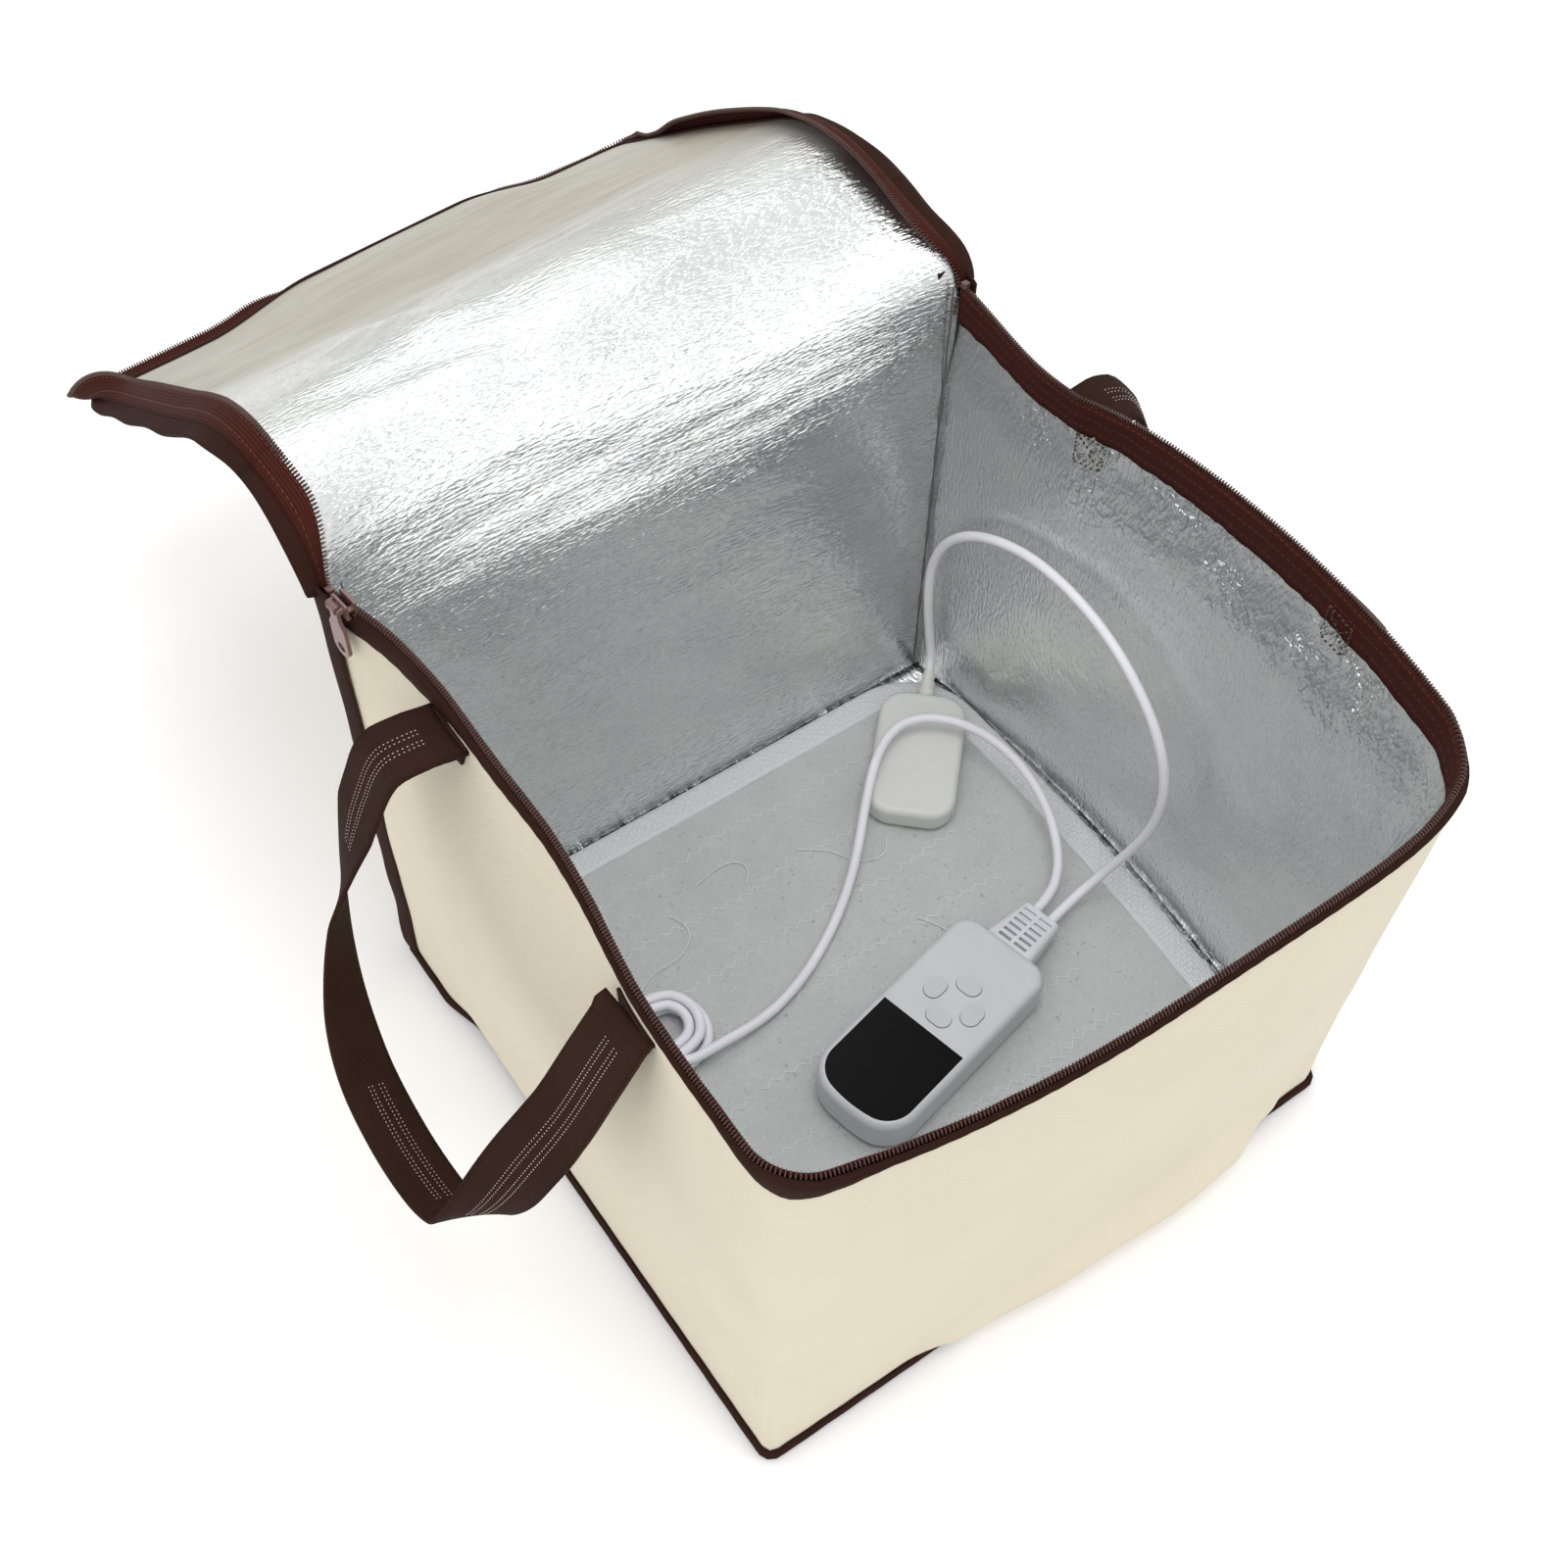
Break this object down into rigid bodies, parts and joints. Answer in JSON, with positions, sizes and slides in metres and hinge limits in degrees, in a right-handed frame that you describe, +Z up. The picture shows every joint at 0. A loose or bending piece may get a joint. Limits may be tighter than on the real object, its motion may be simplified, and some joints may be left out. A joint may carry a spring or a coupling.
{
  "type": "proofing box",
  "caption": "Soft-sided insulated proofing box with a foil lining, a zipped fold-back lid, carry straps, a heating mat on the floor and a wired push-button controller.",
  "frame": {"origin": "centre of the base's underside, on the floor", "axes": "+X to the right seen from the front, +Y to the rear, where the lid is hinged, +Z up"},
  "size_m": [0.5471, 0.6863, 0.3368],
  "materials": {
    "cream_cloth": "woven canvas",
    "foam": "closed-cell foam",
    "foil_lining": "crinkled foil film on cloth",
    "brown_webbing": "ribbed webbing",
    "zip_cloth": "woven tape",
    "zip_coil": "satin",
    "zip_metal": "satin",
    "mat_felt": "needled felt",
    "mat_tape": "woven tape",
    "heating_wire": "matt",
    "case_white": "fine matt",
    "relief_white": "matt",
    "window_black": "polished",
    "button_grey": "fine matt",
    "board_green": "satin",
    "display_dark": "satin",
    "cutout_metal": "satin",
    "screw_steel": "satin",
    "cord_white": "smooth matt",
    "tie_white": "matt",
    "plug_white": "fine matt",
    "blade_brass": "plated"
  },
  "bodies": {
    "bag": {"outer_wall": "cream_cloth", "outer_back": "cream_cloth", "outer_base": "cream_cloth", "foam_wall": "foam", "foam_back": "foam", "foam_base": "foam", "liner_wall": "foil_lining", "liner_back": "foil_lining", "liner_base": "foil_lining", "base_binding": "brown_webbing", "rear_seam_bindings": "brown_webbing", "rim_binding": "brown_webbing", "strap_ends": "brown_webbing", "zip_tape": "zip_cloth", "zip_chain": "zip_coil", "zip_end_stops": "zip_metal", "mat_top_felt": "mat_felt", "mat_bottom_felt": "mat_felt", "mat_edge_tape": "mat_tape", "mat_heating_wire": "heating_wire", "junction_base": "case_white", "junction_cover": "case_white", "controller_base": "case_white", "controller_cover": "case_white", "junction_relief": "relief_white", "controller_relief": "relief_white", "controller_window": "window_black", "controller_board": "board_green", "controller_display": "display_dark", "junction_cutout": "cutout_metal", "controller_screws": "screw_steel", "heater_lead": "cord_white", "mains_lead": "cord_white", "mains_coil": "cord_white", "coil_tie": "tie_white", "plug_body": "plug_white", "plug_blades": "blade_brass"},
    "lid_rear": {"lid_rear_outer": "cream_cloth", "lid_rear_foam": "foam", "lid_rear_liner": "foil_lining", "lid_rear_binding": "brown_webbing", "lid_rear_zip_tape": "zip_cloth", "lid_rear_zip_chain": "zip_coil"},
    "lid_front": {"lid_front_outer": "cream_cloth", "lid_front_foam": "foam", "lid_front_liner": "foil_lining", "lid_front_binding": "brown_webbing", "lid_front_zip_tape": "zip_cloth", "lid_front_zip_chain": "zip_coil"},
    "slider": {"zip_slider": "zip_metal"},
    "pull": {"zip_pull": "zip_metal"},
    "left_handle": {"strap_left": "brown_webbing"},
    "right_handle": {"strap_right": "brown_webbing"},
    "up_button": {"button_up": "button_grey"},
    "down_button": {"button_down": "button_grey"},
    "plus_button": {"button_plus": "button_grey"},
    "minus_button": {"button_minus": "button_grey"}
  },
  "joints": [
    {"name": "lid_hinge", "type": "hinge", "parent": "bag", "child": "lid_rear", "pos_m": [0, 0.1694, 0.3172], "axis": [1, 0, 0], "range_deg": [-30, 178]},
    {"name": "lid_fold", "type": "hinge", "parent": "lid_rear", "child": "lid_front", "pos_m": [0, 0.24138, 0.31901], "axis": [1, 0, 0], "range_deg": [-6.2, 36.1]},
    {"name": "zip_slide", "type": "slide", "parent": "bag", "child": "slider", "axis": [0.1075, -0.9942, 0], "range_m": [0, 0.04]},
    {"name": "pull_hinge", "type": "hinge", "parent": "slider", "child": "pull", "pos_m": [-0.17397, 0.14945, 0.30055], "axis": [-0.1075, 0.9942, 0], "range_deg": [0, 150]},
    {"name": "left_handle_hinge", "type": "hinge", "parent": "bag", "child": "left_handle", "pos_m": [-0.17055, 0.007, 0.278], "axis": [0.0225, 0.9997, 0], "range_deg": [0, 120]},
    {"name": "right_handle_hinge", "type": "hinge", "parent": "bag", "child": "right_handle", "pos_m": [0.18375, 0.007, 0.278], "axis": [-0.0025, -1, 0], "range_deg": [0, 120]},
    {"name": "up_press", "type": "slide", "parent": "bag", "child": "up_button", "axis": [0, 0, -1], "range_m": [0, 0.0006], "stiffness_N_per_m": 1000, "springref_m": -0.001},
    {"name": "down_press", "type": "slide", "parent": "bag", "child": "down_button", "axis": [0, 0, -1], "range_m": [0, 0.0006], "stiffness_N_per_m": 1000, "springref_m": -0.001},
    {"name": "plus_press", "type": "slide", "parent": "bag", "child": "plus_button", "axis": [0, 0, -1], "range_m": [0, 0.0006], "stiffness_N_per_m": 1000, "springref_m": -0.001},
    {"name": "minus_press", "type": "slide", "parent": "bag", "child": "minus_button", "axis": [0, 0, -1], "range_m": [0, 0.0006], "stiffness_N_per_m": 1000, "springref_m": -0.001}
  ],
  "couplings": [
    {"joint": "lid_fold", "follows": "lid_hinge", "ratio": 0.20225}
  ]
}
